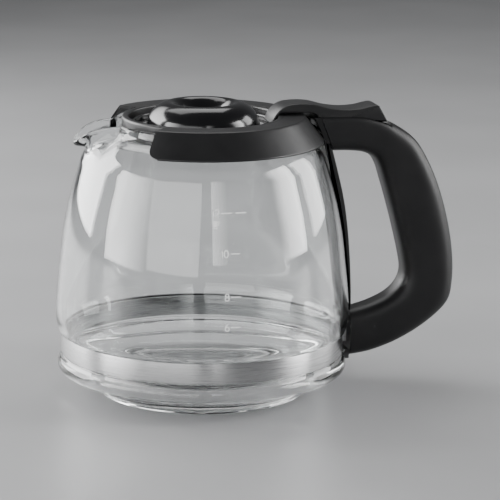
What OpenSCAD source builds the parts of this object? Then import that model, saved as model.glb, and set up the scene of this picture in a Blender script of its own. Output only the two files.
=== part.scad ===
// Glass drip-coffee jug: blown glass body with a pouring spout, black collar, hinged lid worked
// by a thumb lever, hollow two-part handle and a steel clamp band round the foot.
// Millimetres. Origin on the jug's axis at the standing surface, +Z up, handle to +X, spout to -X.

/* [Glass jug] */
// Radius of the jug at its widest
jug_r = 75.3; // [74:0.1:76]
// Height of the pouring rim above the table
rim_h = 140; // [139:0.1:140]
// Thickness of the glass wall
glass_t = 2.5; // [2:0.1:2.8]
// Outer radius of the ring the jug stands on
foot_r = 53.8; // [50:0.1:56]

/* [Steel band] */
// Height of the band
band_h = 10.4; // [8:0.1:10.6]
// Thickness of the steel
band_t = 0.6; // [0.4:0.1:0.8]

/* [Collar] */
// Height of the collar's flat top
collar_h = 142.5; // [142.3:0.1:143]
// Radius of the opening that the lid sits in
mouth_r = 38; // [37.8:0.1:38.4]
// Angle covered by the skirt, centred on the handle
skirt_angle = 256; // [240:1:270]

/* [Lid] */
// Radius of the lid's rim
lid_r = 37; // [36:0.1:37]
// Outer radius of the domed ring
dome_r = 28.4; // [26:0.1:29]
// Radius of the drip hole through the lid
drip_r = 8; // [6:0.1:8.2]
// Width of the thumb lever
lever_w = 16.8; // [14:0.2:16.8]

/* [Hinge] */
// Distance of the hinge pin from the jug's axis
hinge_x = 62.5; // [62:0.1:63]
// Height of the hinge pin
hinge_z = 136.6; // [136.4:0.1:137]
// Radius of the hinge pin
pin_r = 1.6; // [1.2:0.1:1.8]

/* [Handle] */
// Full width of the grip
grip_w = 22; // [21:0.5:24]
// Wall thickness of the handle mouldings
grip_t = 2.4; // [2:0.1:2.8]

/* [Hidden] */

black_satin = "#2a2a2b";
black_gloss = "#0b0b0c";
steel = "#c2c4c6";
silicone = "#55585a";

groove_r = jug_r - 3.5;        // glass radius under the band
groove_z0 = 20.4;              // lower edge of the band's groove
groove_z1 = groove_z0 + 11;    // upper edge of the groove
neck_in = 44.2;                // inside radius of the glass neck
neck_out = 47.3;               // outside radius of the glass neck
plate_t = 1.6;                 // thickness of the collar's flat top
ring_out = 41.4;               // outer radius of the collar's hanging ring
ring_z0 = 133;                 // lower edge of the hanging ring
skirt_top_r = 51.6;            // edge of the collar's flat top
skirt_low_r = 61.2;            // lower edge of the skirt
skirt_z0 = 129.4;              // height of the skirt's lower edge
ear_y0 = 9;                    // inner face of a hinge ear
ear_t = 1.5;                   // thickness of a hinge ear
bracket_x = 66.6;              // rear face of the hinge bracket
bracket_z0 = 124.6;            // underside of the hinge bracket
running = 0.05;                // running clearance of the pin in the lever
wall_x = 67;                   // front face of the handle's upper root
low_x = 76.8;                  // front face of the handle's lower root
root_t = 2.6;                  // thickness of the walls that close the two roots
screw_z = 127.4;               // height of the bracket screws
screw_y = 4.4;                 // half spacing of the bracket screws
part_n = 0.34;                 // parting line of the handle, as a share of its half depth
cover_from = 2.93;             // station where the cover begins behind the lever
arm_t = 1.5;                   // thinner walls of the channel that holds the lever
thin_to = 4.3;                 // station where the thinner walls end
cover_screw_at = 12.6;         // station of the screw that holds the cover
cover_screw_r = 1.3;           // radius of the cover screw
tab_y = 1.2;                   // inner face of a band tab
tab_x1 = 86.6;                 // outer end of the band tabs
slot_y = 2.6;                  // half width of the slot that the tabs pass through
clamp_x = 83.2;                // clamp screw's distance from the jug's axis
clamp_z = groove_z0 + 5.5;     // clamp screw's height
clamp_r = 1.5;                 // radius of the clamp screw
floor_z = 133.6;               // underside of the lid's base
floor_t = 2;                   // thickness of the lid's base
lid_screw_at = 23;             // circle of the three lid screws
lid_screw_r = 1.3;             // radius of the lid screws
ring_fn = 180;
small_fn = 40;

// ---- curves -------------------------------------------------------------------------------------
// Point at u between q and r on the smooth curve p, q, r, s
function blend4(p, q, r, s, u) =
    0.5 * (2 * q + (r - p) * u + (2 * p - 5 * q + 4 * r - s) * u * u
           + (3 * q - p - 3 * r + s) * u * u * u);

// Point at parameter t (0 .. len-1) on the smooth curve through the points
function on_curve(pts, t) =
    let (last = len(pts) - 1, i = min(floor(t), last - 1), u = t - i,
         q = pts[i], r = pts[i + 1],
         p = i > 0 ? pts[i - 1] : 2 * q - r,
         s = i + 2 <= last ? pts[i + 2] : 2 * r - q)
    blend4(p, q, r, s, u);

// The whole smooth curve, with a number of steps between each pair of points
function curve(pts, steps) =
    [for (k = [0 : (len(pts) - 1) * steps]) on_curve(pts, k / steps)];

// An arc of points round a centre, from angle a0 to angle a1
function arc(c, r, a0, a1, steps) =
    [for (k = [0 : steps]) let (a = a0 + (a1 - a0) * k / steps) c + r * [cos(a), sin(a)]];

function reversed(v) = [for (k = [len(v) - 1 : -1 : 0]) v[k]];

// ---- glass --------------------------------------------------------------------------------------
jug_side = [[jug_r - 1.5, groove_z1 + 0.6], [jug_r - 0.5, 35.5], [jug_r, 42.5], [jug_r - 0.4, 52],
            [jug_r - 1.9, 67], [jug_r - 3.9, 84], [jug_r - 7.3, 101], [jug_r - 12, 117],
            [jug_r - 16.6, 126.6], [jug_r - 21.3, 131.2], [jug_r - 25.7, 134], [neck_out, 136.8]];
inner_side = [for (k = [0 : len(jug_side) - 2]) jug_side[k] - [glass_t, k > 7 ? glass_t * 0.7 : 0]];

module glass_outline() {
    bulge = arc([jug_r - 5.2, 14.6], 4.2, -75, 62, 10);
    rim_mid = (neck_in + neck_out) / 2;
    rim_r = (neck_out - neck_in) / 2;
    outer = concat(
        [[0, 3.4], [foot_r - 7, 2.8], [foot_r - 4.6, 0.8]],
        arc([foot_r - 2.4, 1.2], 1.2, -135, -90, 3),
        arc([foot_r - 1.2, 1.2], 1.2, -90, 0, 5),
        [[foot_r + 0.1, 3], [foot_r + 4, 5.2], [foot_r + 11, 8.2]],
        bulge,
        [[groove_r, groove_z0 - 0.6], [groove_r, groove_z1]],
        curve(jug_side, 4),
        arc([rim_mid, rim_h - rim_r], rim_r, 0, 180, 10));
    inner = concat(
        reversed(curve(inner_side, 4)),
        curve([[groove_r - 2.2, 27], [groove_r - 1.8, 18], [66, 11.8], [57, 8.6], [44, 7.2],
               [20, 7.2]], 5),
        [[0, 7.4]]);
    polygon(concat(outer, [[neck_in, 135.6]], inner));
}

// The spout: balls whose skin runs from the neck to a rounded, drooping tip
spout_balls = [[-62.6, 0, 131.8], [-58.4, 5.3, 135.2], [-58.4, -5.3, 135.2],
               [-51, 8, 137.2], [-51, -8, 137.2], [-45.6, 8, 137.2], [-45.6, -8, 137.2]];
spout_ball_r = 3;

module spout_body() {
    hull()
        for (p = spout_balls)
            translate(p) sphere(r = spout_ball_r, $fn = 28);
}

module spout_channel() {
    lift = 12;
    hull()
        for (p = spout_balls, up = [0, lift])
            translate(p + [p[0] > -50 ? 3 : 0, 0, up])
                sphere(r = spout_ball_r - 1.8, $fn = 20);
}

module glass_jug() {
    color("#dfe6e8", 0.35)
    difference() {
        union() {
            rotate_extrude($fn = ring_fn) glass_outline();
            spout_body();
        }
        spout_channel();
        translate([0, 0, 128]) cylinder(r = neck_in - 0.5, h = 20, $fn = ring_fn);
    }
}

module neck_gasket() {
    color(silicone)
    rotate([0, 0, -skirt_angle / 2])
        rotate_extrude(angle = skirt_angle, $fn = ring_fn)
            translate([neck_in, rim_h]) square([neck_out - neck_in, collar_h - plate_t - rim_h]);
}

// ---- collar -------------------------------------------------------------------------------------
module skirt_outline() {
    edge = 1;
    polygon(concat(
        [[ring_out - 1, collar_h]],
        arc([skirt_top_r - edge, collar_h - edge], edge, 90, 30, 4),
        [[skirt_low_r, skirt_z0 + 0.8], [skirt_low_r, skirt_z0], [skirt_low_r - 1.3, skirt_z0],
         [skirt_top_r - 1.6, collar_h - plate_t], [ring_out - 1, collar_h - plate_t]]));
}

module hanging_ring() {
    edge = 0.8;
    rotate_extrude($fn = ring_fn)
        polygon(concat(
            [[mouth_r, ring_z0], [ring_out, ring_z0]],
            arc([ring_out - edge, collar_h - edge], edge, 0, 90, 4),
            arc([mouth_r + edge, collar_h - edge], edge, 90, 180, 4)));
}

module hinge_bracket() {
    width = 2 * (ear_y0 + ear_t);
    difference() {
        translate([50, -width / 2, bracket_z0])
            cube([bracket_x - 50, width, hinge_z + 4 - bracket_z0]);
        // hollow that clears the glass shoulder
        translate([0, 0, bracket_z0 - 1])
            cylinder(r = skirt_low_r + 0.2, h = skirt_z0 - bracket_z0 + 1, $fn = ring_fn);
        translate([0, 0, skirt_z0])
            cylinder(r1 = skirt_low_r - 0.6, r2 = skirt_top_r - 0.6, h = collar_h - skirt_z0,
                     $fn = ring_fn);
        // notched backs of the ears
        translate([bracket_x - 2, -20, hinge_z + 2]) cube([10, 40, 10]);
        translate([hinge_x, 0, hinge_z]) rotate([90, 0, 0])
            cylinder(r = pin_r, h = 60, center = true, $fn = small_fn);
        for (y = [-screw_y, screw_y])
            translate([55, y, screw_z]) rotate([0, 90, 0]) cylinder(r = 1.4, h = 30, $fn = small_fn);
    }
}

module collar() {
    color(black_satin)
    difference() {
        union() {
            hanging_ring();
            rotate([0, 0, -skirt_angle / 2])
                rotate_extrude(angle = skirt_angle, $fn = ring_fn) skirt_outline();
            hinge_bracket();
        }
        // slot for the lever's knuckle
        translate([hinge_x - 3.9, -ear_y0, hinge_z - 4.6]) cube([20, 2 * ear_y0, 20]);
    }
}

// ---- handle -------------------------------------------------------------------------------------
// Stations along the handle, from the hinge round to the lower root, each an inner and an outer point
inner_line = [[wall_x, 122.5], [75, 122.3], [83, 121.3], [88.5, 118.5], [91.7, 113.5], [94, 106.5],
              [97.5, 95], [101.5, 80.5], [105, 66], [106.2, 57.5], [104, 51], [99, 46], [92, 42.5],
              [84.5, 40], [low_x, 38.4]];
outer_line = [[wall_x, 141.2], [77, 140.9], [88, 139.2], [99, 135.7], [110, 128.4], [117, 118.8],
              [124, 103.8], [129.6, 85.5], [132.8, 67.5], [133.3, 52], [130.5, 40.3], [119, 29.6],
              [104, 21], [89.5, 15.9], [low_x, 13.9]];
last_station = len(inner_line) - 1;

function mid_point(t) = (on_curve(inner_line, t) + on_curve(outer_line, t)) / 2;
function half_depth(t) = norm(on_curve(outer_line, t) - on_curve(inner_line, t)) / 2;
function across(t) =
    let (d = on_curve(outer_line, t) - on_curve(inner_line, t)) d / norm(d);

// Half width of the handle along its length: slimmer where it meets the jug
function half_width(t) = grip_w / 2 - 0.6 + 0.6 * sin(180 * t / last_station);

// Whether the section is still the open channel under the lever
function is_arm(t) = t < cover_from;

// Wall thickness of the two mouldings
function wall_at(t) = t < thin_to ? arm_t : grip_t;

// Superellipse half width at n, a share of the half depth
function round_off(n) = pow(1 - pow(min(abs(n), 1), 2.8), 1 / 2.8);

// A point of the handle: n along the depth, y across, both in millimetres, at station t
function at_station(t, n, y) =
    let (p = mid_point(t) + across(t) * n) [p[0], y, p[1]];

// Loop of a channel section: outer skin from one edge round the inner side to the other, then back
function channel_loop(t, steps) =
    let (a = half_depth(t), b = half_width(t), w = wall_at(t),
         top = is_arm(t) ? a : a * part_n,
         lip = is_arm(t) ? b : b * round_off(part_n),
         skin = [for (k = [0 : steps]) let (f = 90 + 180 * k / steps)
                 [cos(f), sin(f)]],
         bend = 2 / 2.8)
    concat(
        [[top, lip]],
        [for (c = skin) [sign(c[0]) * a * pow(abs(c[0]), bend), sign(c[1]) * b * pow(abs(c[1]), bend)]],
        [[top, -lip], [top, w - lip]],
        [for (c = reversed(skin)) [sign(c[0]) * (a - w) * pow(abs(c[0]), bend),
                                   sign(c[1]) * (b - w) * pow(abs(c[1]), bend)]],
        [[top, lip - w]]);

// Loop of the cover's section: outer skin from edge to edge over the outer side, then back inside
function cover_loop(t, steps) =
    let (a = half_depth(t), b = half_width(t), w = min(wall_at(t), grip_t - 0.2),
         low = part_n + 0.1 / a,
         f0 = acos(pow(low, 1.4)), bend = 2 / 2.8,
         skin = [for (k = [0 : steps]) let (f = -f0 + 2 * f0 * k / steps) [cos(f), sin(f)]])
    concat(
        [for (c = skin) [a * pow(c[0], bend), sign(c[1]) * b * pow(abs(c[1]), bend)]],
        [for (c = reversed(skin)) [max(low * a, (a * pow(c[0], bend) - low * a) * (a - w - low * a)
                                   / (a - low * a) + low * a),
                                   sign(c[1]) * (b - w) * pow(abs(c[1]), bend)]]);

// Outline of a section of half depth a and half width b between n0 and n1 along its depth, drawn with
// its width along X. way is 1 where the outer side is the upper one, and -1 where it is the lower one.
function section_part(a, b, n0, n1, way) =
    let (steps = 12,
         side = [for (k = [0 : steps])
                 let (n = n0 + (n1 - n0) * k / steps) [b * round_off(n / a), way * n]])
    concat(side, [for (p = reversed(side)) [-p[0], p[1]]]);

// Closed skin over a row of equal loops. Each loop is an outer skin and the inner skin that mirrors it
// point for point, so the flat ends are strips of quads between the two.
module skin_over(loops) {
    n = len(loops[0]);
    m = len(loops);
    points = [for (loop = loops) each loop];
    sides = [for (j = [0 : m - 2], k = [0 : n - 1])
             [j * n + k, j * n + (k + 1) % n, (j + 1) * n + (k + 1) % n, (j + 1) * n + k]];
    strip = [for (k = [0 : n / 2 - 2]) [k, n - 1 - k, n - 2 - k, k + 1]];
    ends = [for (q = strip) each [q, [for (v = reversed(q)) (m - 1) * n + v]]];
    polyhedron(points = points, faces = concat(sides, ends), convexity = 8);
}

// Places its children at a station with +Z pointing from the inner to the outer side
module place_at(t) {
    p = mid_point(t);
    d = across(t);
    translate([p[0], 0, p[1]]) rotate([0, atan2(d[0], d[1]), 0]) children();
}

// Wall across one end of the handle, up to n1 along the depth
module root_wall(t, n1, way) {
    p = mid_point(t);
    sunk = 1;
    a = half_depth(t) - sunk;
    translate([p[0], 0, p[1]]) rotate([90, 0, 90])
        linear_extrude(height = root_t)
            polygon(section_part(a, half_width(t) - sunk, 0.2 - a, n1, way));
}

module handle_frame() {
    arm_rings = 9;
    grip_rings = 36;
    stations = concat([for (j = [0 : arm_rings]) (cover_from - 0.01) * j / arm_rings],
                      [for (j = [0 : grip_rings])
                       cover_from + (last_station - cover_from) * j / grip_rings]);
    a = half_depth(cover_screw_at);
    end_a = half_depth(last_station);
    clear_a = end_a - grip_t - 0.8;
    color(black_satin)
    difference() {
        union() {
            skin_over([for (t = stations) [for (p = channel_loop(t, 12)) at_station(t, p[0], p[1])]]);
            root_wall(0, 0.2, 1);
            root_wall(last_station, end_a * part_n - 0.1, -1);
            // part of the lower wall that reaches into the cover, clear of its inside
            translate([low_x, 0, mid_point(last_station)[1]]) rotate([90, 0, 90])
                linear_extrude(height = root_t)
                    polygon(section_part(clear_a, half_width(last_station) - grip_t - 0.5, 0,
                                         clear_a - 0.2, -1));
            // boss for the cover screw
            place_at(cover_screw_at) translate([0, 0, 1.2 - a])
                cylinder(r = 3.4, h = a - 1.2, $fn = small_fn);
        }
        place_at(cover_screw_at) translate([0, 0, 5 - a])
            cylinder(r = cover_screw_r, h = a, $fn = small_fn);
        for (y = [-screw_y, screw_y])
            translate([wall_x - 1, y, screw_z]) rotate([0, 90, 0])
                cylinder(r = 1.7, h = root_t + 2, $fn = small_fn);
        translate([low_x - 1, -slot_y, groove_z0 - 0.4])
            cube([root_t + 2, 2 * slot_y, band_h + 1.4]);
    }
}

module handle_cover() {
    rings = 38;
    a = half_depth(cover_screw_at);
    color(black_satin)
    difference() {
        union() {
            skin_over([for (j = [0 : rings])
                       let (t = cover_from + (last_station - cover_from) * j / rings)
                       [for (p = cover_loop(t, 12)) at_station(t, p[0], p[1])]]);
            place_at(cover_screw_at) translate([0, 0, 0.1])
                cylinder(r = 4.2, h = a - 1.2, $fn = small_fn);
        }
        place_at(cover_screw_at) cylinder(r = cover_screw_r + 0.3, h = a + 2, $fn = small_fn);
        place_at(cover_screw_at) translate([0, 0, a - 2.2])
            cylinder(r = 2.9, h = 5, $fn = small_fn);
    }
}

module cover_screw() {
    a = half_depth(cover_screw_at);
    color(steel)
    place_at(cover_screw_at)
        difference() {
            union() {
                translate([0, 0, a - 2.2]) cylinder(r = 2.7, h = 1.6, $fn = small_fn);
                translate([0, 0, 5.5 - a])
                    cylinder(r = cover_screw_r, h = 2 * a - 7, $fn = small_fn);
            }
            cross_slot(a - 1.4);
        }
}

// Cross recess cut down from height z in a screw's head
module cross_slot(z) {
    for (turn = [0, 90])
        rotate([0, 0, turn]) translate([-1.5, -0.35, z]) cube([3, 0.7, 2]);
}

// The strip that lines the gap between the jug and the two roots of the handle
module spine_strip() {
    outer = curve([[66.6, 122.2], [69.8, 110], [72.7, 97.5], [75, 82], [76.4, 66], [77.2, 50],
                   [77.3, 38.9]], 4);
    gap = 0.7;
    inner = curve([[61.8 + gap, 122.2], [65.7 + gap, 110], [69.1 + gap, 97.5], [71.8 + gap, 82],
                   [73.6 + gap, 66], [75.2 + gap, 50], [75.4 + gap, 38.9]], 4);
    width = 16.4;
    color(black_satin)
    translate([0, width / 2, 0]) rotate([90, 0, 0])
        linear_extrude(height = width) polygon(concat(outer, reversed(inner)));
}

module root_pads() {
    width = 15;
    color(silicone)
    for (pad = [[13, 17.6, jug_r - 0.8], [33.6, 38.2, jug_r + 0.15]])
        difference() {
            translate([70, -width / 2, pad[0]]) cube([low_x - 70, width, pad[1] - pad[0]]);
            translate([0, 0, pad[0] - 1]) cylinder(r = pad[2], h = 8, $fn = ring_fn);
        }
}

module hinge_pin() {
    length = 2 * (ear_y0 + ear_t);
    color(steel)
    translate([hinge_x, 0, hinge_z]) rotate([90, 0, 0])
        cylinder(r = pin_r, h = length, center = true, $fn = small_fn);
}

module bracket_screws() {
    color(steel)
    for (y = [-screw_y, screw_y])
        translate([0, y, screw_z]) rotate([0, 90, 0])
            difference() {
                union() {
                    translate([0, 0, wall_x + root_t]) cylinder(r = 2.6, h = 1.8, $fn = small_fn);
                    translate([0, 0, 62.5]) cylinder(r = 1.4, h = 7.4, $fn = small_fn);
                }
                cross_slot(wall_x + root_t + 0.9);
            }
}

// ---- band ---------------------------------------------------------------------------------------
band_z = groove_z0 + 0.3;
band_in = groove_r + 0.05;

module steel_band() {
    tab_x0 = band_in + band_t / 2;
    color(steel)
    difference() {
        union() {
            difference() {
                rotate_extrude($fn = ring_fn) translate([band_in, band_z]) square([band_t, band_h]);
                translate([0, -tab_y, 0]) cube([100, 2 * tab_y, 50]);
            }
            for (y = [tab_y, -tab_y - band_t])
                translate([tab_x0, y, band_z]) cube([tab_x1 - tab_x0, band_t, band_h]);
        }
        translate([clamp_x, 0, clamp_z]) rotate([90, 0, 0])
            cylinder(r = clamp_r + 0.1, h = 20, center = true, $fn = small_fn);
    }
}

module band_screw() {
    head_h = 2.2;
    color(steel)
    translate([clamp_x, -tab_y - band_t, clamp_z]) rotate([-90, 0, 0])
        difference() {
            union() {
                translate([0, 0, -head_h]) cylinder(r = 2.9, h = head_h, $fn = small_fn);
                cylinder(r = clamp_r, h = 7.2, $fn = small_fn);
            }
            mirror([0, 0, 1]) cross_slot(head_h - 1.1);
        }
}

module band_nut() {
    color(steel)
    translate([clamp_x, tab_y + band_t, clamp_z]) rotate([-90, 0, 0])
        difference() {
            cylinder(r = 3.2, h = 2.4, $fn = 6);
            translate([0, 0, -1]) cylinder(r = clamp_r, h = 5, $fn = small_fn);
        }
}

// ---- lid ----------------------------------------------------------------------------------------
module lever_outline() {
    top = curve([[33.5, 138], [36.2, 143.2], [41, 146.8], [48, 147.8], [56, 147.3], [64, 145.2],
                 [72, 144.4], [80, 144.6], [86, 145.4], [90.6, 145.1]], 4);
    under = curve([[95.3, 137.4], [88, 137.3], [77, 139.1], [66, 139]], 4);
    front = [[60, 139.2], [57.5, 142.2], [54.5, 143.3], [38.2, 143.3], [37, 142.2], [36.6, 139],
             [36.6, floor_z + 0.6], [35.1, floor_z + 0.6], [35.1, 137.3]];
    polygon(concat(top, under, front));
}

module three_at(r) {
    for (turn = [60, 180, 300])
        rotate([0, 0, turn]) translate([r, 0, 0]) children();
}

module lid_base() {
    rim_t = 1.9;
    edge = 0.8;
    rim_h1 = collar_h - 0.8;
    knuckle_r = 3.2;
    color(black_satin)
    difference() {
        union() {
            rotate_extrude($fn = ring_fn)
                polygon(concat(
                    [[19, floor_z], [lid_r, floor_z]],
                    arc([lid_r - edge, rim_h1 - edge], edge, 0, 90, 4),
                    [[lid_r - rim_t, rim_h1], [lid_r - rim_t, floor_z + floor_t],
                     [19, floor_z + floor_t]]));
            translate([0, lever_w / 2, 0]) rotate([90, 0, 0])
                linear_extrude(height = lever_w) lever_outline();
            translate([hinge_x, 0, hinge_z]) rotate([90, 0, 0])
                cylinder(r = knuckle_r, h = lever_w, center = true, $fn = small_fn);
        }
        translate([hinge_x, 0, hinge_z]) rotate([90, 0, 0])
            cylinder(r = pin_r + running, h = lever_w + 2, center = true, $fn = small_fn);
        three_at(lid_screw_at)
            translate([0, 0, floor_z - 1]) cylinder(r = lid_screw_r + 0.2, h = 4, $fn = small_fn);
    }
}

module lid_dome() {
    flange_r = lid_r - 2.2;
    seat_z = floor_z + floor_t + 0.05;
    outer = curve([[dome_r + 0.6, 137.1], [dome_r, 140], [dome_r - 0.6, 143.4], [dome_r - 3.4, 146.9],
                   [21, 148.9], [17.4, 149.4], [14.4, 148.5], [11.4, 145.3], [9.2, 141.2],
                   [drip_r, 137.5]], 4);
    inner = curve([[drip_r + 1.6, 137.4], [12.8, 143.5], [16.4, 147], [21, 147], [24.6, 144.6],
                   [dome_r - 2, 140.6], [dome_r - 1.8, seat_z]], 4);
    color(black_gloss)
    difference() {
        union() {
            rotate_extrude($fn = ring_fn)
                polygon(concat([[flange_r, seat_z], [flange_r, seat_z + 1.2]], outer,
                               [[drip_r, 130.6], [drip_r + 1.6, 130.6]], inner));
            three_at(lid_screw_at) translate([0, 0, seat_z]) cylinder(r = 2.6, h = 10, $fn = small_fn);
        }
        three_at(lid_screw_at)
            translate([0, 0, seat_z - 1]) cylinder(r = lid_screw_r, h = 8, $fn = small_fn);
    }
}

module lid_liner() {
    tube_in = drip_r + 1.8;
    tube_out = tube_in + 1.6;
    top_z = floor_z - 0.05;
    color(black_satin)
    difference() {
        rotate_extrude($fn = ring_fn)
            polygon([[tube_in, 126], [tube_out, 126], [tube_out, 131.5], [33, 131.5], [34.4, 132.6],
                     [34.4, top_z], [tube_in, top_z]]);
        three_at(lid_screw_at)
            translate([0, 0, 130]) cylinder(r = lid_screw_r + 0.2, h = 5, $fn = small_fn);
    }
}

module lid_screws() {
    color(steel)
    three_at(lid_screw_at)
        translate([0, 0, 131.5]) difference() {
            union() {
                translate([0, 0, -1.5]) cylinder(r = 2.4, h = 1.5, $fn = small_fn);
                cylinder(r = lid_screw_r, h = 10.4, $fn = small_fn);
            }
            mirror([0, 0, 1]) cross_slot(0.8);
        }
}

glass_jug();
neck_gasket();
collar();
hinge_pin();
bracket_screws();
handle_frame();
handle_cover();
cover_screw();
spine_strip();
root_pads();
steel_band();
band_screw();
band_nut();
lid_base();
lid_dome();
lid_liner();
lid_screws();
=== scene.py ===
"""Visual model of the glass coffee jug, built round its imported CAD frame.

Lengths in this script are millimetres until a mesh is made; Blender's units are metres.
The jug's axis is the Z axis, the handle points to +X and the spout to -X.
"""
from math import cos, pi, radians, sin, sqrt

import bmesh
import bpy
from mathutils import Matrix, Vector


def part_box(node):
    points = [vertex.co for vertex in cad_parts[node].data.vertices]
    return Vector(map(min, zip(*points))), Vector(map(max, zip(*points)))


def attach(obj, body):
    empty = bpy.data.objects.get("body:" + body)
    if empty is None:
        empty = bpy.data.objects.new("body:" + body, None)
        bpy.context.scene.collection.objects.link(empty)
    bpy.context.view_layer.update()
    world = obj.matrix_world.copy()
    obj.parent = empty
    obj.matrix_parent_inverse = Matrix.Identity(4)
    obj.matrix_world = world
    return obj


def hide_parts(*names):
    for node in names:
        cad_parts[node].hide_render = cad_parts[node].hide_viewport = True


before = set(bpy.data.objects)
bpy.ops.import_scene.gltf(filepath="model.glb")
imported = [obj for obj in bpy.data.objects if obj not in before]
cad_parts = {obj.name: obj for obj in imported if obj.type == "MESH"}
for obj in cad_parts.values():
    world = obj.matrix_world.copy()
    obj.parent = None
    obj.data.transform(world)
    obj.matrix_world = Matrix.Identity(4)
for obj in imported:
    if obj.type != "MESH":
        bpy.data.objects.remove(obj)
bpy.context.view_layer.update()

MM = 0.001
scene = bpy.context.scene


# ---- driving sizes, in millimetres, from the frame or with the CAD model's values ------------------
def node_box(name):
    """Lowest and highest corner of a CAD node, in millimetres."""
    low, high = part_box(name)
    return [v / MM for v in low], [v / MM for v in high]


glass_low, glass_high = node_box("glass_jug")
JUG_R = min(glass_high[1], -glass_low[0])    # widest radius of the glass
RIM_H = glass_high[2]                        # height of the glass rim
FOOT_R = 53.8                                # radius of the foot ring
GROOVE_R = JUG_R - 3.5                       # bottom of the groove that holds the band
GROOVE_Z0 = 20.4                             # groove's lower and upper edge
GROOVE_Z1 = GROOVE_Z0 + 11

COLLAR_H = node_box("collar")[1][2]          # top of the collar
MOUTH_R = 38.0                               # inside of the collar's ring
RING_OUT = 41.4                              # outside of the ring
RING_LOW = 133.0                             # lower edge of the ring
SKIRT_TOP_R = 51.6                           # skirt's radius at the top and at the bottom
SKIRT_LOW_R = 61.2
SKIRT_Z0 = 129.4                             # underside of the skirt
PLATE = 1.6                                  # thickness of the collar's flat top and skirt

LID_R = node_box("lid_base")[1][1]           # radius of the lid's tray
FLOOR_Z = 133.6                              # underside of the tray's floor
FLOOR_T = 2.0                                # thickness of the floor
DOME_R = 28.4                                # radius of the ring dome
DRIP_R = 8.0                                 # radius of the hole at the bottom of the dome's funnel
LEVER_HALF = 8.4                             # half the lever's width
HINGE_X = 62.5                               # place of the hinge pin
HINGE_Z = 136.6

GRIP_HALF = node_box("handle_frame")[1][1]   # half the handle's width
COVER_FROM = 2.93                            # station where the open channel ends
ARM_WALL = 1.5                               # wall between the channel and the handle's outside


# ---- curves ----------------------------------------------------------------------------------------
TINY = 0.001    # a length that counts as nothing


def blend4(p, q, r, s, u):
    """Point at u between q and r on the smooth curve p, q, r, s."""
    return tuple(
        0.5 * (2 * b + (c - a) * u + (2 * a - 5 * b + 4 * c - d) * u * u
               + (3 * b - a - 3 * c + d) * u * u * u)
        for a, b, c, d in zip(p, q, r, s)
    )


def on_curve(points, t):
    """Point at parameter t, from 0 to len - 1, on the smooth curve through the points."""
    last = len(points) - 1
    i = min(int(t), last - 1)
    q, r = points[i], points[i + 1]
    p = points[i - 1] if i > 0 else tuple(2 * a - b for a, b in zip(q, r))
    s = points[i + 2] if i + 2 <= last else tuple(2 * b - a for a, b in zip(q, r))
    return blend4(p, q, r, s, t - i)


def curve(points, steps):
    """The whole smooth curve, with a number of steps between each pair of points."""
    return [on_curve(points, k / steps) for k in range((len(points) - 1) * steps + 1)]


def arc(centre, r, a0, a1, steps):
    """Points round a centre from angle a0 to a1, in degrees."""
    turns = [radians(a0 + (a1 - a0) * k / steps) for k in range(steps + 1)]
    return [(centre[0] + r * cos(a), centre[1] + r * sin(a)) for a in turns]


def rounded(corners, r, steps=4, closed=True):
    """An outline whose corners are rounded to about r. A corner may bring its own radius."""
    out = []
    n = len(corners)
    for i, corner in enumerate(corners):
        p = Vector(corner[:2])
        if not closed and i in (0, n - 1):
            out.append(tuple(p))
            continue
        before = Vector(corners[i - 1][:2]) - p
        after = Vector(corners[(i + 1) % n][:2]) - p
        size = corner[2] if len(corner) > 2 else r
        reach = min(size, before.length * 0.48, after.length * 0.48)
        if reach < TINY:
            out.append(tuple(p))
            continue
        a = p + before.normalized() * reach
        b = p + after.normalized() * reach
        for k in range(steps + 1):
            u = k / steps
            out.append(tuple(a * (1 - u) ** 2 + p * 2 * u * (1 - u) + b * u * u))
    return out


# ---- meshes ----------------------------------------------------------------------------------------
def make_piece(name, verts, faces, material, sharp=None):
    """A mesh object from millimetre points, smooth-shaded, with edges over `sharp` degrees kept crisp."""
    mesh = bpy.data.meshes.new(name)
    mesh.from_pydata([tuple(c * MM for c in v) for v in verts], [], faces)
    bm = bmesh.new()
    bm.from_mesh(mesh)
    bmesh.ops.remove_doubles(bm, verts=bm.verts, dist=1e-6)
    bmesh.ops.recalc_face_normals(bm, faces=bm.faces)
    bm.to_mesh(mesh)
    bm.free()
    mesh.shade_smooth()
    if sharp:
        mesh.set_sharp_from_angle(angle=radians(sharp))
    if material:
        mesh.materials.append(material)
    obj = bpy.data.objects.new(name, mesh)
    scene.collection.objects.link(obj)
    return obj


def skin(loops, wrap, caps=True):
    """Points and faces of a skin over equal closed loops. wrap joins the last loop to the first."""
    n, m = len(loops[0]), len(loops)
    verts = [p for loop in loops for p in loop]
    faces = []
    for j in range(m if wrap else m - 1):
        a, b = j * n, (j + 1) % m * n
        for k in range(n):
            faces.append((a + k, a + (k + 1) % n, b + (k + 1) % n, b + k))
    if caps and not wrap:
        faces.append(tuple(range(n - 1, -1, -1)))
        faces.append(tuple((m - 1) * n + k for k in range(n)))
    return verts, faces


def turned(name, outline, material, columns=192, start=0.0, sweep=360.0, sharp=None):
    """A closed (radius, height) outline turned about the jug's axis."""
    whole = sweep >= 360
    count = columns if whole else columns + 1
    angles = [radians(start + sweep * k / columns) for k in range(count)]
    loops = [[(r * cos(a), r * sin(a), z) for r, z in outline] for a in angles]
    verts, faces = skin(loops, wrap=whole)
    return make_piece(name, verts, faces, material, sharp)


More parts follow.
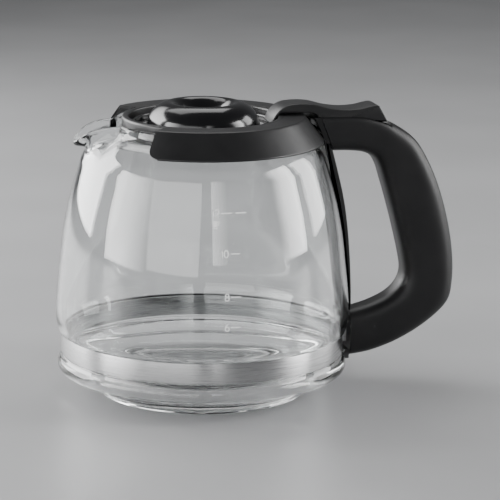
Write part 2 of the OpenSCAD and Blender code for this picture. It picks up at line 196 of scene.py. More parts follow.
def slab(name, outline, half, material, edge=0.6, steps=3, sharp=None, middle=0.0):
    """A closed (x, z) outline carried across by `half` each way from y = middle, with rounded edges."""
    def inset(points, d):
        n = len(points)
        area = sum(points[i - 1][0] * points[i][1] - points[i][0] * points[i - 1][1] for i in range(n))
        turn = 1 if area > 0 else -1
        out = []
        for i in range(n):
            along = Vector(points[(i + 1) % n]) - Vector(points[i - 1])
            along.normalize()
            out.append((points[i][0] - along.y * d * turn, points[i][1] + along.x * d * turn))
        return out

    loops = []
    for side in (-1, 1):
        ring = []
        for k in range(steps + 1):
            a = pi / 2 * k / steps
            level = middle + side * (half - edge * (1 - sin(a)))
            ring.append([(x, level, z) for x, z in inset(outline, edge * (1 - cos(a)))])
        # the first ring is the widest, the last one the flat side
        loops += ring[::-1] if side < 0 else ring
    verts, faces = skin(loops, wrap=False)
    return make_piece(name, verts, faces, material, sharp)


def box_cutter(low, high):
    """A plain block used to cut other pieces."""
    corners = [(x, y, z) for x in (low[0], high[0]) for y in (low[1], high[1]) for z in (low[2], high[2])]
    faces = [(0, 1, 3, 2), (4, 6, 7, 5), (0, 4, 5, 1), (2, 3, 7, 6), (0, 2, 6, 4), (1, 5, 7, 3)]
    return make_piece("cut_box", corners, faces, None)


def round_cutter(r, start, end, steps=48):
    """A cylinder between two points, used to cut other pieces."""
    a, b = Vector(start), Vector(end)
    side = (b - a).cross(Vector((0, 1, 0))).normalized()
    up = (b - a).cross(side).normalized()
    turns = [2 * pi * k / steps for k in range(steps)]
    loops = [[tuple(p + side * r * cos(t) + up * r * sin(t)) for t in turns] for p in (a, b)]
    return make_piece("cut_round", *skin(loops, wrap=False), None)


def carve(obj, cutters):
    """Cuts the cutters out of a piece and removes them."""
    for cutter in cutters:
        cut = obj.modifiers.new("cut", "BOOLEAN")
        cut.operation = "DIFFERENCE"
        cut.solver = "EXACT"
        cut.object = cutter
        apply_modifiers(obj)
        bpy.data.objects.remove(cutter)


def soften(obj, width):
    """Rounds a piece's sharp edges by a small width in millimetres."""
    bevel = obj.modifiers.new("soften", "BEVEL")
    bevel.width = width * MM
    bevel.segments = 3
    bevel.limit_method = "ANGLE"
    bevel.angle_limit = radians(50)
    apply_modifiers(obj)
    obj.data.shade_smooth()


def apply_modifiers(obj):
    """Makes the result of a piece's modifiers its mesh."""
    graph = bpy.context.evaluated_depsgraph_get()
    mesh = bpy.data.meshes.new_from_object(obj.evaluated_get(graph))
    obj.modifiers.clear()
    obj.data = mesh


# ---- materials -------------------------------------------------------------------------------------
def new_material(name):
    """A node material and its Principled shader."""
    material = bpy.data.materials.new(name)
    material.use_nodes = True
    return material, material.node_tree, material.node_tree.nodes["Principled BSDF"]


def link(tree, a, b):
    """Joins an output to an input."""
    tree.links.new(a, b)


def add(tree, kind, **values):
    """A shader node, with its attributes or input values set by name."""
    node = tree.nodes.new(kind)
    for key, value in values.items():
        if hasattr(node, key):
            setattr(node, key, value)
        else:
            node.inputs[key.replace("_", " ")].default_value = value
    return node


def grain(tree, scale, detail=3.0, stretch=(1, 1, 1), rough=0.5):
    """Noise in the object's own space, stretched if asked. Returns the noise node."""
    place = add(tree, "ShaderNodeTexCoord")
    mapping = add(tree, "ShaderNodeMapping")
    mapping.inputs["Scale"].default_value = stretch
    noise = add(tree, "ShaderNodeTexNoise", Scale=scale, Detail=detail, Roughness=rough)
    link(tree, place.outputs["Object"], mapping.inputs["Vector"])
    link(tree, mapping.outputs["Vector"], noise.inputs["Vector"])
    return noise


def ramp_between(tree, source, low, high, out_low, out_high):
    """Maps a factor from low..high to out_low..out_high."""
    node = add(tree, "ShaderNodeMapRange")
    node.inputs["From Min"].default_value = low
    node.inputs["From Max"].default_value = high
    node.inputs["To Min"].default_value = out_low
    node.inputs["To Max"].default_value = out_high
    link(tree, source, node.inputs["Value"])
    return node.outputs["Result"]


def tint_between(tree, source, colour_a, colour_b, low=0.35, high=0.65):
    """Mixes two colours by a factor."""
    node = add(tree, "ShaderNodeMix", data_type="RGBA")
    node.inputs["A"].default_value = (*colour_a, 1)
    node.inputs["B"].default_value = (*colour_b, 1)
    link(tree, ramp_between(tree, source, low, high, 0, 1), node.inputs["Factor"])
    return node.outputs["Result"]


def bump(tree, shader, source, distance, strength=1.0):
    """Raises the surface by a factor, up to a distance in metres."""
    node = add(tree, "ShaderNodeBump", Distance=distance, Strength=strength)
    link(tree, source, node.inputs["Height"])
    link(tree, node.outputs["Normal"], shader.inputs["Normal"])


def moulded_plastic(name, dark, light, rough, texture, depth, shine=0.5):
    """Moulded black plastic: a fine spark-eroded texture and slight handling marks. It runs between two
    colours, and between the two values of rough. texture is the grain's scale and depth its height."""
    material, tree, shader = new_material(name)
    marks = grain(tree, 28, detail=4, rough=0.6)
    fine = grain(tree, texture, detail=2)
    link(tree, tint_between(tree, marks.outputs["Fac"], dark, light), shader.inputs["Base Color"])
    link(tree, ramp_between(tree, marks.outputs["Fac"], 0.3, 0.7, *rough), shader.inputs["Roughness"])
    bump(tree, shader, fine.outputs["Fac"], depth)
    shader.inputs["IOR"].default_value = 1.5
    shader.inputs["Specular IOR Level"].default_value = shine
    return material


def clear_glass():
    """Clear blown glass: faint waviness and a trace of green-grey."""
    material, tree, shader = new_material("clear_glass")
    wave = grain(tree, 14, detail=1, stretch=(1, 1, 0.35))
    shader.inputs["Transmission Weight"].default_value = 1.0
    shader.inputs["IOR"].default_value = 1.47
    shader.inputs["Base Color"].default_value = (0.965, 0.975, 0.975, 1)
    link(tree, ramp_between(tree, wave.outputs["Fac"], 0.3, 0.7, 0.0, 0.012), shader.inputs["Roughness"])
    bump(tree, shader, wave.outputs["Fac"], 0.00012, 0.5)
    return material


def brushed_band():
    """Stainless strip brushed along its length: fine level lines, in height, tone and roughness."""
    material, tree, shader = new_material("brushed_band")
    place = add(tree, "ShaderNodeTexCoord")
    parts = add(tree, "ShaderNodeSeparateXYZ")
    link(tree, place.outputs["Object"], parts.inputs["Vector"])
    turn = add(tree, "ShaderNodeMath", operation="ARCTAN2")
    link(tree, parts.outputs["Y"], turn.inputs[0])
    link(tree, parts.outputs["X"], turn.inputs[1])
    around = add(tree, "ShaderNodeMath", operation="MULTIPLY")
    link(tree, turn.outputs[0], around.inputs[0])
    around.inputs[1].default_value = 0.05    # from radians to the pattern's own length
    spot = add(tree, "ShaderNodeCombineXYZ")
    link(tree, around.outputs[0], spot.inputs["X"])
    link(tree, parts.outputs["Z"], spot.inputs["Z"])
    stretch = add(tree, "ShaderNodeMapping")
    stretch.inputs["Scale"].default_value = (60, 1, 5200)    # long lines, very close together
    link(tree, spot.outputs["Vector"], stretch.inputs["Vector"])
    lines = add(tree, "ShaderNodeTexNoise", Scale=1.0, Detail=4.0, Roughness=0.65)
    link(tree, stretch.outputs["Vector"], lines.inputs["Vector"])
    link(tree, tint_between(tree, lines.outputs["Fac"], (0.36, 0.362, 0.366), (0.52, 0.522, 0.526)),
         shader.inputs["Base Color"])
    link(tree, ramp_between(tree, lines.outputs["Fac"], 0.3, 0.7, 0.22, 0.38), shader.inputs["Roughness"])
    shader.inputs["Metallic"].default_value = 1.0
    shader.inputs["Anisotropic"].default_value = 0.85
    shader.inputs["Anisotropic Rotation"].default_value = 0.25
    bump(tree, shader, lines.outputs["Fac"], 0.00002, 0.6)
    return material


def turned_steel(name, tone, rough):
    """Plated steel of pins and screws, with fine turning marks."""
    material, tree, shader = new_material(name)
    marks = grain(tree, 900, detail=3, stretch=(1, 0.2, 1))
    low = tuple(c * 0.8 for c in tone)
    link(tree, tint_between(tree, marks.outputs["Fac"], low, tone), shader.inputs["Base Color"])
    link(tree, ramp_between(tree, marks.outputs["Fac"], 0.3, 0.7, rough, rough + 0.15),
         shader.inputs["Roughness"])
    shader.inputs["Metallic"].default_value = 1.0
    bump(tree, shader, marks.outputs["Fac"], 0.00001)
    return material


def silicone_rubber():
    """Matt black silicone rubber."""
    material, tree, shader = new_material("silicone_rubber")
    fine = grain(tree, 600, detail=3)
    link(tree, tint_between(tree, fine.outputs["Fac"], (0.012, 0.012, 0.013), (0.02, 0.02, 0.021)),
         shader.inputs["Base Color"])
    link(tree, ramp_between(tree, fine.outputs["Fac"], 0.3, 0.7, 0.5, 0.68), shader.inputs["Roughness"])
    bump(tree, shader, fine.outputs["Fac"], 0.00003)
    return material


def white_enamel():
    """Screen-printed enamel, slightly uneven."""
    material, tree, shader = new_material("white_enamel")
    fine = grain(tree, 1500, detail=3)
    link(tree, tint_between(tree, fine.outputs["Fac"], (0.82, 0.83, 0.83), (0.93, 0.93, 0.92)),
         shader.inputs["Base Color"])
    link(tree, ramp_between(tree, fine.outputs["Fac"], 0.3, 0.7, 0.35, 0.5), shader.inputs["Roughness"])
    return material


GLASS = clear_glass()
BAND = brushed_band()
SATIN = moulded_plastic("satin_black", (0.007, 0.007, 0.0075), (0.011, 0.011, 0.0115), (0.32, 0.4),
                        2600, 0.00002, shine=0.36)
HANDLE = moulded_plastic("handle_black", (0.004, 0.004, 0.0045), (0.007, 0.007, 0.0075), (0.38, 0.46),
                         2600, 0.000012, shine=0.3)
TRAY = moulded_plastic("tray_black", (0.006, 0.006, 0.007), (0.010, 0.010, 0.011), (0.12, 0.2),
                       900, 0.00001)
GLOSS = moulded_plastic("gloss_black", (0.002, 0.002, 0.0025), (0.004, 0.004, 0.0045), (0.14, 0.18),
                        60, 0.00001)
STEEL = turned_steel("plated_steel", (0.55, 0.55, 0.57), 0.22)
DARK_STEEL = turned_steel("blackened_steel", (0.06, 0.06, 0.065), 0.35)
SILICONE = silicone_rubber()
ENAMEL = white_enamel()


# ---- glass jug -------------------------------------------------------------------------------------
JUG_SIDE = [(JUG_R - 1.5, GROOVE_Z1 + 0.6), (JUG_R - 0.5, 35.5), (JUG_R, 42.5), (JUG_R - 0.4, 52),
            (JUG_R - 1.9, 67), (JUG_R - 3.9, 84), (JUG_R - 7.3, 101), (JUG_R - 12, 117),
            (JUG_R - 13.6, 121.6)]

# The top of the wall from the outer shoulder over the rim to the inner shoulder: each row has the
# (radius, height) all round the neck, then the one along the middle of the spout
LIP = [((58.7, 126.6), (60.3, 126.0)), ((54.0, 131.2), (61.3, 128.2)), ((49.6, 134.0), (63.5, 128.6)),
       ((47.6, 136.4), (65.5, 129.0)), ((47.2, 138.2), (66.9, 130.1)), ((46.9, 139.3), (66.7, 131.5)),
       ((45.8, RIM_H), (65.6, 132.1)), ((44.7, 139.3), (64.2, 131.9)), ((44.2, 138.0), (62.4, 131.4)),
       ((44.2, 136.2), (60.4, 130.7)), ((44.9, 134.4), (58.8, 129.4)), ((47.6, 132.3), (57.9, 127.8)),
       ((52.4, 129.3), (57.8, 126.0)), ((56.7, 125.0), (58.1, 123.9))]
SPOUT_SPREAD = 15      # degrees from the spout's middle to where the rim is round again
SPOUT_SHARE = 0.9      # how quickly the spout narrows
DROOP_SHARE = 3.2      # how late the lip starts to droop


def jug_outline(angle):
    """Section of the glass at an angle round the axis, from the middle of its underside over the rim
    and down the inside to the middle of the floor."""
    off = abs(angle % (2 * pi) - pi)
    share = max(0.0, cos(pi / 2 * min(1.0, off / radians(SPOUT_SPREAD)))) ** SPOUT_SHARE
    droop = share ** DROOP_SHARE
    lip = [(a[0] + (b[0] - a[0]) * share, a[1] + (b[1] - a[1]) * droop) for a, b in LIP]
    under = [(0, 3.4), (30, 3.2), (FOOT_R - 7, 2.7), (FOOT_R - 4.9, 1.4), (FOOT_R - 4.0, 0.5),
             (FOOT_R - 2.6, 0.0), (FOOT_R - 1.2, 0.0), (FOOT_R - 0.3, 0.5), (FOOT_R, 1.6),
             (FOOT_R + 0.6, 3.4), (FOOT_R + 4, 5.4), (FOOT_R + 11, 8.3)]
    bulge = arc((JUG_R - 5.2, 14.6), 4.2, -70, 55, 12)
    groove = rounded([(JUG_R - 2.2, 18.9), (GROOVE_R, GROOVE_Z0 - 0.4, 0.8),
                      (GROOVE_R, GROOVE_Z1, 0.8), (JUG_R - 1.9, GROOVE_Z1 + 0.2)], 0.8, 4, closed=False)
    outer = [(r, max(0.0, z)) for r, z in curve(under, 4)] + bulge + groove[1:-1]
    side = curve(JUG_SIDE + lip, 6)
    inner = [(JUG_R - 15.9, 120.5), (JUG_R - 14.4, 116.3), (JUG_R - 9.7, 100.4), (JUG_R - 6.4, 84),
             (JUG_R - 4.4, 67), (JUG_R - 2.9, 52), (JUG_R - 2.5, 42), (JUG_R - 3.3, 35),
             (GROOVE_R - 2.0, 27), (GROOVE_R - 1.8, 19), (66.5, 12.2), (57, 8.7), (44, 7.3), (20, 7.2),
             (0, 7.4)]
    return outer + side[:-6] + curve([lip[-2], lip[-1]] + inner, 6)[3:]


def glass_jug():
    """The whole blown glass, with narrow columns across the spout and wider ones round the rest."""
    reach = SPOUT_SPREAD + 1
    side = [radians(180 + reach + d) for d in range(360 - 2 * reach)]
    spout = [radians(180 - reach + d / 4) for d in range(8 * reach)]
    loops = [[(r * cos(a), r * sin(a), z) for r, z in jug_outline(a)] for a in side + spout]
    columns = len(loops)
    n = len(loops[0])
    verts = [p for loop in loops for p in loop]
    faces = []
    for j in range(columns):
        a, b = j * n, (j + 1) % columns * n
        for k in range(n - 1):
            faces.append((a + k, b + k, b + k + 1, a + k + 1))
    jug = make_piece("jug_glass", verts, faces, GLASS)
    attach(jug, "jug")
    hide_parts("glass_jug")


def glass_radius(z):
    """Outer radius of the jug's side at a height."""
    side = curve(JUG_SIDE, 12)
    for low, high in zip(side, side[1:]):
        if low[1] <= z <= high[1]:
            return low[0] + (high[0] - low[0]) * (z - low[1]) / (high[1] - low[1])
    return JUG_R


# ---- collar ----------------------------------------------------------------------------------------
SKIRT_FRONT = 129.7    # where the skirt ends on the near side, in degrees from the handle
SKIRT_BACK = 134.0     # and on the far side
SKIRT_LIP = 0.8        # height of the skirt's upright lower edge
END_WIDE = 5.6         # width and height of the skirt's rounded lower corners
END_HIGH = 4.2


def skirt_short(z):
    """Angle by which the skirt is shorter at a height, for its rounded lower corners."""
    near = min(1.0, max(0.0, 1 - (z - SKIRT_Z0 - SKIRT_LIP) / END_HIGH))
    corner = END_WIDE * (1 - sqrt(1 - near * near))
    return corner * 180 / pi / SKIRT_LOW_R


def collar():
    """The ring round the lid, the flared skirt, and the block at the handle, cut open for the lever."""
    ring = rounded([(MOUTH_R, RING_LOW), (RING_OUT, RING_LOW), (RING_OUT, COLLAR_H, 1.3),
                    (MOUTH_R, COLLAR_H, 1.0)], 0.4, 6)
    hoop = turned("collar_ring", ring, SATIN, 256)
    lip_z = SKIRT_Z0 + SKIRT_LIP
    rows = 30
    slant = [(SKIRT_TOP_R + (SKIRT_LOW_R - SKIRT_TOP_R) * k / rows, COLLAR_H + (lip_z - COLLAR_H) * k / rows)
             for k in range(3, rows)]
    lining = [(r - PLATE, z - 0.1) for r, z in slant[::-1]]
    inside = RING_OUT - 0.6
    profile = rounded([(inside, COLLAR_H - 0.01, 0.01), (SKIRT_TOP_R, COLLAR_H, 1.6)]
                      + [(r, z, 0.01) for r, z in slant]
                      + [(SKIRT_LOW_R, lip_z, 0.7), (SKIRT_LOW_R - 0.1, SKIRT_Z0, 0.5),
                         (SKIRT_LOW_R - 1.3, SKIRT_Z0, 0.5)]
                      + [(r, z, 0.01) for r, z in lining]
                      + [(SKIRT_TOP_R - PLATE, COLLAR_H - PLATE, 0.8), (inside, COLLAR_H - PLATE, 0.01)],
                      0.4, 4)
    loops = []
    columns = 240
    for k in range(columns + 1):
        u = k / columns
        loop = []
        for r, z in profile:
            short = skirt_short(z)
            a = radians(-(SKIRT_FRONT - short) * (1 - u) + (SKIRT_BACK - short) * u)
            loop.append((r * cos(a), r * sin(a), z))
        loops.append(loop)
    skirt = make_piece("collar_skirt", *skin(loops, wrap=False), SATIN, sharp=40)
    soften(skirt, 0.35)
    side = rounded([(56.5, 139.8), (52.5, 140.9), (63.9, 140.9), (63.9, 138.4), (66.4, 138.4), (66.4, 127),
                    (62.5, 127)], 0.5, 3)
    block = slab("hinge_block", side, 9.0, SATIN, edge=0.4, sharp=50)
    carve(block, [box_cutter((58.6, -8.7, 132), (80, 8.7, 160))])
    for piece in (hoop, skirt, block):
        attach(piece, "jug")
        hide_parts("collar")


# ---- handle ----------------------------------------------------------------------------------------
INNER_LINE = [(66.6, 122.5), (75, 122.3), (83, 121.3), (88.5, 118.5), (91.7, 113.5), (94, 106.5),
              (97.5, 95), (101.5, 80.5), (105, 66), (106.2, 57.5), (104, 51), (99, 46), (92, 42.5),
              (84.5, 40), (76.8, 38.4)]
OUTER_LINE = [(59.2, 141.3), (77, 140.9), (88, 139.2), (99, 135.7), (110, 128.4), (117, 118.8),
              (124, 103.8), (129.6, 85.5), (132.8, 67.5), (133.2, 52), (130.5, 40.3), (119, 29.6),
              (104, 21), (89.5, 15.9), (76.8, 13.9)]
LAST = len(INNER_LINE) - 1
ARM_POWER = 7.0         # squareness of the section's outer half under the lever
GRIP_POWER = 3.2        # and at the grip, where 2 would be an ellipse
SCREW_AT = 12.6         # station of the screw in the handle's back
BORE_R = 2.9            # radius and depth of the hole round that screw
BORE_DEPTH = 2.2
SECTION_STEPS = 88      # points round a section
STATION_STEPS = 168     # sections along the handle


def across(t):
    """Middle of the section at station t, half its depth, and the direction from inner to outer side."""
    a, b = Vector(on_curve(INNER_LINE, t)), Vector(on_curve(OUTER_LINE, t))
    return (a + b) / 2, (b - a).length / 2, (b - a).normalized()


def half_width(t):
    """Half the handle's width at a station: a little fuller at the grip and at the upper root."""
    flare = 0.25 * max(0.0, 1 - t / 2)
    return GRIP_HALF - 0.6 + 0.6 * sin(pi * t / LAST) + flare


def soft_power(v, p):
    """A power that keeps the sign."""
    return abs(v) ** p * (1 if v > 0 else -1 if v < 0 else 0)


def outer_loop(t, steps, shrink=0.0):
    """The handle's section at a station. Its outer half is squarer under the lever than at the grip."""
    _, a, _ = across(t)
    a -= shrink
    b = half_width(t) - shrink
    ease = min(1.0, max(0.0, (t - 1.0) / 2.6))
    square = ARM_POWER - (ARM_POWER - GRIP_POWER) * ease * ease * (3 - 2 * ease)
    loop = []
    for k in range(steps):
        f = 2 * pi * k / steps
        power = 2 / (square if cos(f) > 0 else GRIP_POWER)
        loop.append((soft_power(cos(f), power) * a, soft_power(sin(f), power) * b))
    return loop


def in_place(t, loop):
    """A section's points, set across the handle at a station."""
    middle, _, way = across(t)
    return [(middle.x + way.x * n, y, middle.y + way.y * n) for n, y in loop]


def lever_pocket():
    """The hollow that the lever sinks into: open upwards along the arm, then a short pocket."""
    steps = 40
    sections = 27
    before = 0.12
    loops = []
    for k in range(sections + 1):
        t = -before + (COVER_FROM + before) * k / sections
        _, a, _ = across(max(t, 0))
        lower = [(min(n, 0), y) for n, y in outer_loop(max(t, 0), steps, ARM_WALL)]
        loops.append(in_place(t, [(a + 6 if n >= 0 else n, y) for n, y in lower]))
    open_part = make_piece("cut_open", *skin(loops, wrap=False), HANDLE)
    loops = [in_place(t, outer_loop(t, steps, ARM_WALL)) for t in (2.7, 3.0, 3.3, 3.6, 3.9, 4.1)]
    closed_part = make_piece("cut_pocket", *skin(loops, wrap=False), HANDLE)
    return [open_part, closed_part]


def handle():
    """The handle as one seamless shell, and the strip between its roots, along the glass."""
    stations = [LAST * k / STATION_STEPS for k in range(STATION_STEPS)]
    loops = [in_place(t, outer_loop(t, SECTION_STEPS)) for t in stations]
    # the lower end is rounded off a little before its flat face
    for t, shrink in ((LAST - 0.02, 0.0), (LAST, 0.3)):
        loops.append(in_place(t, outer_loop(t, SECTION_STEPS, shrink)))
    shell = make_piece("handle_shell", *skin(loops, wrap=False), HANDLE)
    middle, a, way = across(SCREW_AT)
    ends = [middle + way * d for d in (a - BORE_DEPTH, a + 6)]
    bore = round_cutter(BORE_R, *[(p.x, 0, p.y) for p in ends])
    carve(shell, lever_pocket() + [bore])
    shell.data.shade_smooth()
    shell.data.set_sharp_from_angle(angle=radians(32))
    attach(shell, "jug")
    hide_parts("handle_frame", "handle_cover")

    outer = curve([(66.6, 122.2), (69.8, 110), (72.7, 97.5), (75, 82), (76.4, 66), (77.2, 50),
                   (77.3, 38.9)], 6)
    inner = curve([(62.5, 122.2), (66.4, 110), (69.8, 97.5), (72.5, 82), (74.3, 66), (75.9, 50),
                   (76.1, 38.9)], 6)
    top = [(60.9, 129.6), (62.3, 131.8), (65.1, 126.4)]
    strip = slab("spine_lining", rounded(top + outer + inner[::-1], 0.3, 2), 8.2, HANDLE, edge=0.6, sharp=50)
    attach(strip, "jug")
    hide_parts("spine_strip")


# ---- lid -------------------------------------------------------------------------------------------
def lid():
    """The lid's tray, the thumb lever that turns with it and the ring dome."""
    rim_top = COLLAR_H - 3.0
    floor_top = FLOOR_Z + FLOOR_T
    tray_hole = 19
    wall_in = LID_R - 1.9
    tray = rounded([(tray_hole, FLOOR_Z), (LID_R, FLOOR_Z), (LID_R, rim_top, 0.9), (wall_in, rim_top, 0.7),
                    (wall_in, floor_top, 0.6), (tray_hole, floor_top)], 0.4, 5)
    base = turned("lid_tray", tray, TRAY, 256)
    top = curve([(33.5, 138), (36.2, 143.2), (41, 146.8), (48, 147.8), (56, 147.3), (64, 145.2),
                 (72, 144.1), (80, 144.3), (86, 145.5), (89, 145.9), (90.7, 145.5)], 6)
    under = curve([(95.3, 137.4), (88, 137.3), (77, 139.1), (68, 139)], 6)
    knuckle = arc((HINGE_X, HINGE_Z), 3.2, 40, -190, 20)
    front = [(57.6, 142.0), (54.5, 143.3), (38.2, 143.3), (37.0, 142.2), (36.6, 139),
             (36.6, FLOOR_Z + 0.6), (35.1, FLOOR_Z + 0.6), (35.1, 137.3)]
    outline = rounded(top + under + knuckle + front, 0.5, 2)
    lever = slab("thumb_lever", outline, LEVER_HALF, SATIN, edge=0.5, sharp=50)
    seat = floor_top + 0.05
    dome_outer = curve([(DOME_R + 0.6, 137.1), (DOME_R, 139.6), (DOME_R - 1.0, 142.6), (DOME_R - 3.2, 145.6),
                        (21.8, 148.1), (17.6, 149.3), (14.6, 148.5), (11.6, 145.6), (9.4, 141.4),
                        (DRIP_R, 137.5)], 8)
    dome_inner = curve([(DRIP_R + 1.6, 137.4), (12.8, 143.5), (16.4, 147), (21, 147), (24.6, 144.6),
                        (DOME_R - 2, 140.6), (DOME_R - 1.8, seat)], 6)
    dome = turned("ring_dome", [(LID_R - 2.2, seat), (LID_R - 2.2, seat + 0.9), (LID_R - 2.5, seat + 1.2),
                                (DOME_R + 2.4, seat + 1.2)] + dome_outer
                  + [(DRIP_R, 130.6), (DRIP_R + 1.6, 130.6)] + dome_inner, GLOSS, 256, sharp=50)
    for piece, kind in ((base, "black_satin"), (lever, "black_satin"), (dome, "black_gloss")):
        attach(piece, "lid")
    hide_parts("lid_base")
    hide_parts("lid_base")
    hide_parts("lid_dome")


# ---- steel band ------------------------------------------------------------------------------------
def steel_band():
    """The brushed strip in the groove, with a gap behind the handle and its two ends turned outwards."""
    low, high = node_box("steel_band")
    inside, outside = GROOVE_R + 0.05, GROOVE_R + 0.65
    outline = rounded([(inside, low[2]), (outside, low[2]), (outside, high[2]), (inside, high[2])], 0.25, 3)
    gap = 0.96    # degrees from the handle's middle to each end of the strip
    pieces = [turned("foot_band", outline, BAND, 300, start=gap, sweep=360 - 2 * gap)]
    bend = 72.2
    for side in (-1, 1):
        tab = rounded([(bend, low[2]), (high[0], low[2]), (high[0], high[2]), (bend, high[2])], 0.8, 4)
        pieces.append(slab("band_tab", tab, 0.3, BAND, edge=0.15, middle=1.5 * side, sharp=50))
    for piece in pieces:
        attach(piece, "jug")
        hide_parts("steel_band")


# ---- printed scale ---------------------------------------------------------------------------------
def ring_stroke(cx, cz, rx, rz, a0, a1, steps=22):
    """A stroke along part of an ellipse, from angle a0 to a1 in degrees."""
    turns = [radians(a0 + (a1 - a0) * k / steps) for k in range(steps + 1)]
    return [(cx + rx * cos(a), cz + rz * sin(a)) for a in turns]


# Strokes of each figure in a cell 2 wide and 3 high
FIGURES = {
    "0": [ring_stroke(0.95, 1.5, 0.85, 1.5, 90, 450)],
    "1": [[(0.15, 2.35), (0.85, 3.0), (0.85, 0.0)]],
    "2": [ring_stroke(0.95, 2.15, 0.82, 0.85, 165, -38) + [(0.1, 0.0), (1.85, 0.0)]],
    "6": [ring_stroke(0.95, 0.9, 0.85, 0.9, 90, 450), ring_stroke(2.1, 0.95, 2.0, 2.1, 180, 106)],
    "8": [ring_stroke(0.95, 2.25, 0.68, 0.72, -90, 270), ring_stroke(0.95, 0.78, 0.85, 0.78, 90, 450)],
}
CUP_BODY = [[(1.15, 0.2), (1.15, 2.6)]]
CUP_LINES = [ring_stroke(2.1, 1.6, 0.75, 0.6, 80, -80), [(0.1, -0.4), (2.3, -0.4)]]
FIGURE_SIZE = 1.15     # millimetres per cell unit
PRINT_WIDE = 0.56      # width of a printed line
PRINT_LIFT = 0.12      # how far the enamel stands off the glass
CUP_AT = -99.0         # left end of the cup sign, in degrees
CUP_FOOT = 98.8        # height of its foot
CUP_SIZE = 1.15        # millimetres per cell unit


def on_glass(angle, z):
    """A point of the print, `angle` degrees round the axis."""
    r = glass_radius(z) + PRINT_LIFT
    return (r * cos(radians(angle)), r * sin(radians(angle)), z)


def printed(name, strokes, angle, z, size, wide=PRINT_WIDE):
    """Raised enamel lines on the glass. The strokes' left end is at the angle, their foot at height z."""
    turn = 180 / pi / glass_radius(z)
    verts, faces = [], []
    for stroke in strokes:
        first = len(verts)
        for i, point in enumerate(stroke):
            p = Vector(point)
            along = (Vector(stroke[min(i + 1, len(stroke) - 1)]) - Vector(stroke[max(i - 1, 0)])).normalized()
            across_line = Vector((-along.y, along.x)) * (wide / 2)
            for q in (p * size + across_line, p * size - across_line):
                verts.append(on_glass(angle + q.x * turn, z + q.y))
        faces += [(first + 2 * i, first + 2 * i + 1, first + 2 * i + 3, first + 2 * i + 2)
                  for i in range(len(stroke) - 1)]
    piece = make_piece(name, verts, faces, ENAMEL)
    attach(piece, "jug")


# Each label with its height, then where it starts and where its line starts and ends, in degrees
LEVELS = [("12", 105.4, -99.4, -95.4, -84.6), ("10", 86.0, -95.9, -91.7, -88.1),
          ("8", 64.9, -94.3, -92.0, -88.2), ("6", 50.0, -94.4, -92.2, -88.4)]


def scale_print():
    """The cup scale: figures, their lines and a small cup sign under the highest one."""
    for label, z, left, line_from, line_to in LEVELS:
        foot = z - 1.5 * FIGURE_SIZE
        degrees = 180 / pi / glass_radius(z)
        pitch = (1.5 if label[0] == "1" else 2.4) * FIGURE_SIZE * degrees
        for i, figure in enumerate(label):
            printed("level_%s_figure_%d" % (label, i), FIGURES[figure], left + pitch * i, foot, FIGURE_SIZE)
        length = (line_to - line_from) / degrees
        parts = [[(0, 0), (length, 0)]]
        if label == LEVELS[0][0]:
            parts = [[(0, 0), (length * 0.42, 0)], [(length * 0.58, 0), (length, 0)]]
        printed("level_%s_line" % label, parts, line_from, z, 1.0)
    printed("cup_body", CUP_BODY, CUP_AT, CUP_FOOT, CUP_SIZE, wide=2.2)
    printed("cup_lines", CUP_LINES, CUP_AT, CUP_FOOT, CUP_SIZE)


# ---- what stays as the CAD model has it ------------------------------------------------------------
def dress_cad():
    """Materials for the CAD nodes that are seen as they are."""
    kept = {"neck_gasket": SILICONE, "root_pads": SILICONE, "lid_liner": SATIN, "hinge_pin": DARK_STEEL,
            "bracket_screws": STEEL, "cover_screw": STEEL, "band_screw": STEEL, "band_nut": STEEL,
            "lid_screws": STEEL}
    for name, material in kept.items():
        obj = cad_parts[name]
        obj.data.materials.clear()
        obj.data.materials.append(material)


# ---- stage, lights and camera ----------------------------------------------------------------------
def stage():
    """A plain grey floor and a dim, even world."""
    material, tree, shader = new_material("pale_floor")
    soft = grain(tree, 9, detail=2)
    link(tree, tint_between(tree, soft.outputs["Fac"], (0.265, 0.266, 0.27), (0.285, 0.286, 0.29)),
         shader.inputs["Base Color"])
    shader.inputs["Roughness"].default_value = 0.42
    mesh = bpy.data.meshes.new("floor")
    half = 6.0
    mesh.from_pydata([(-half, -half, 0), (half, -half, 0), (half, half, 0), (-half, half, 0)], [],
                     [(0, 1, 2, 3)])
    mesh.materials.append(material)
    floor = bpy.data.objects.new("floor", mesh)
    scene.collection.objects.link(floor)

    world = bpy.data.worlds.new("studio")
    world.use_nodes = True
    back = world.node_tree.nodes["Background"]
    back.inputs["Color"].default_value = (0.80, 0.81, 0.83, 1)
    back.inputs["Strength"].default_value = 0.2
    scene.world = world


FADE_PEAK = 1.6              # strength of a fading box at its bright side
LIGHTS_AIM = (0, 0, 0.07)    # point that every box faces, in metres


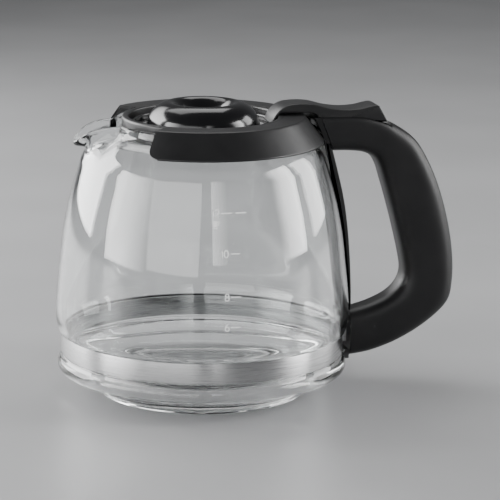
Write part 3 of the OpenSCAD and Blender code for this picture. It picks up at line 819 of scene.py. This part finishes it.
def soft_light(name, place, width, height, power, fade=None):
    """A rectangular soft box. With fade, its light falls off to nothing across its width, towards one
    side (-1) or the other (1)."""
    light = bpy.data.lights.new(name, "AREA")
    light.shape = "RECTANGLE"
    light.size = width
    light.size_y = height
    light.energy = power
    if fade:
        light.use_nodes = True
        tree = light.node_tree
        emission = tree.nodes["Emission"]
        spot = add(tree, "ShaderNodeNewGeometry")
        parts = add(tree, "ShaderNodeSeparateXYZ")
        link(tree, spot.outputs["Parametric"], parts.inputs["Vector"])
        ends = (0.0, FADE_PEAK) if fade > 0 else (FADE_PEAK, 0.0)
        link(tree, ramp_between(tree, parts.outputs["X"], 0, 1, *ends), emission.inputs["Strength"])
    obj = bpy.data.objects.new(name, light)
    scene.collection.objects.link(obj)
    obj.location = place
    obj.rotation_euler = (Vector(LIGHTS_AIM) - Vector(place)).to_track_quat("-Z", "Y").to_euler()


def lights():
    """Tall soft boxes on both sides and behind, a dim panel and a strip in front, and one from above."""
    soft_light("left_back_box", (-0.58, 0.77, 0.42), 1.15, 0.72, 33, fade=1)
    soft_light("left_front_box", (-1.18, -0.26, 0.40), 0.9, 0.75, 24, fade=-1)
    soft_light("front_left_panel", (-0.90, -1.20, 0.42), 1.2, 0.75, 9.5)
    soft_light("front_strip", (0.04, -1.5, 0.52), 0.36, 0.8, 3, fade=-1)
    soft_light("right_box", (0.95, -0.42, 0.42), 0.5, 0.75, 18, fade=1)
    soft_light("right_back_box", (1.08, 0.20, 0.42), 0.46, 0.7, 7)
    soft_light("top_box", (0.0, 0.75, 1.35), 1.2, 0.8, 10)


CAM_AZIMUTH = radians(13)              # from the -Y axis, towards the spout
CAM_AWAY = 1.4                         # metres from the jug's axis
CAM_UP = 0.385                         # metres above the floor
CAM_AIM = (0.0237, -0.0055, 0.0725)    # point that the camera faces, in metres
CAM_LENS = 201.6                       # focal length and sensor width in millimetres
CAM_SENSOR = 36
CAM_ROLL = radians(0.6)                # lean about the line of sight


def camera():
    """The camera at the height, distance and angle of the product view."""
    data = bpy.data.cameras.new("photo_view")
    data.lens = CAM_LENS
    data.sensor_width = CAM_SENSOR
    obj = bpy.data.objects.new("photo_view", data)
    scene.collection.objects.link(obj)
    place = Vector((-CAM_AWAY * sin(CAM_AZIMUTH), -CAM_AWAY * cos(CAM_AZIMUTH), CAM_UP))
    turn = (Vector(CAM_AIM) - place).to_track_quat("-Z", "Y").to_matrix().to_4x4()
    turn.translation = place
    obj.matrix_world = turn
    obj.rotation_euler.rotate_axis("Z", CAM_ROLL)
    scene.camera = obj


camera()
stage()
lights()
dress_cad()
glass_jug()
collar()
handle()
lid()
steel_band()
scale_print()
